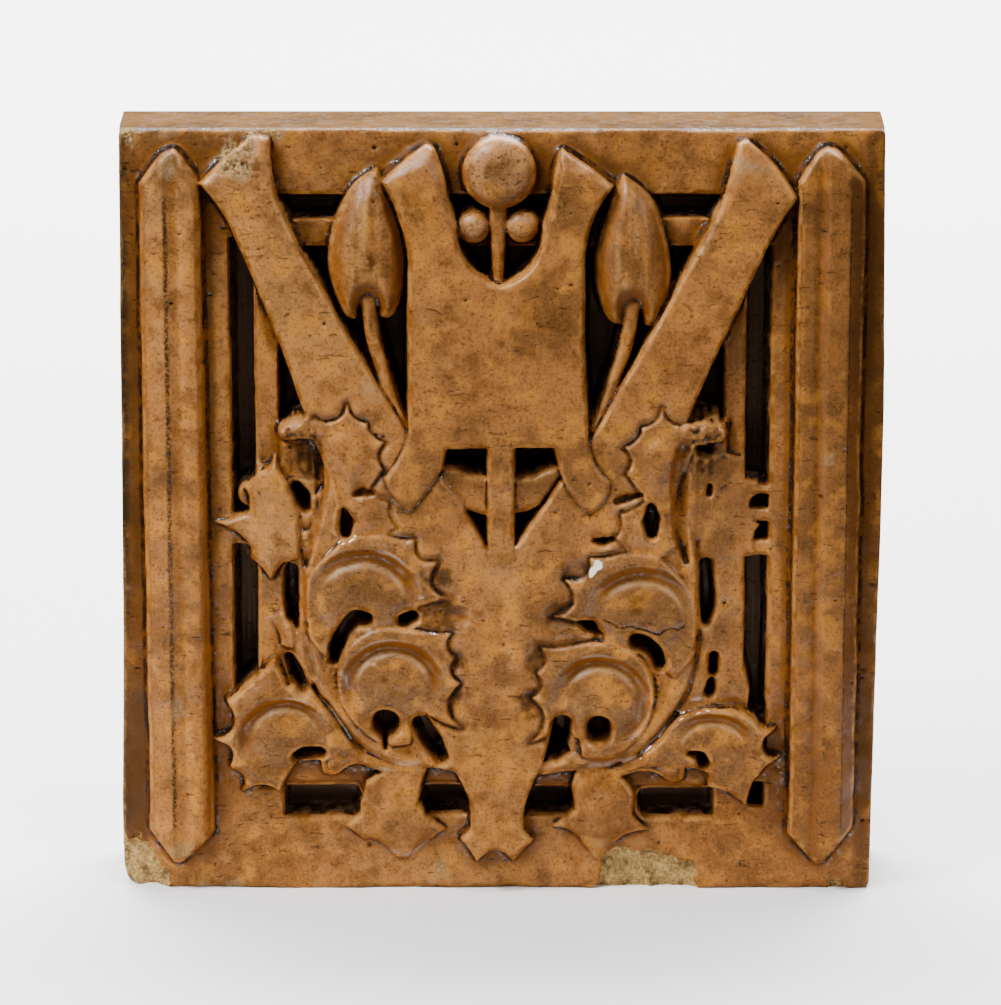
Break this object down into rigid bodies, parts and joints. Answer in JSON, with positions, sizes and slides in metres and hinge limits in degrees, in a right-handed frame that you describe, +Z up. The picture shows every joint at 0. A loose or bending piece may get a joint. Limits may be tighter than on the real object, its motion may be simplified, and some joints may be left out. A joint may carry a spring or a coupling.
{
  "type": "terracotta ornament block",
  "caption": "Glazed terracotta facing block: strapwork, budded flowers and scrolling leaves over a pierced ground, between two moulded side bars.",
  "frame": {"origin": "middle of the underside: centre of the box's width and depth, at the bed face", "axes": "+Z up the block, -Y out of the carved face towards the viewer, +X to the viewer's right"},
  "size_m": [0.314, 0.065, 0.314],
  "materials": {
    "glazed_terracotta": "amber-brown semi-gloss glaze, darker in the recesses, worn at the arrises, buff body at the breaks"
  },
  "bodies": {
    "root": {"terracotta_block": "glazed_terracotta"}
  },
  "joints": []
}
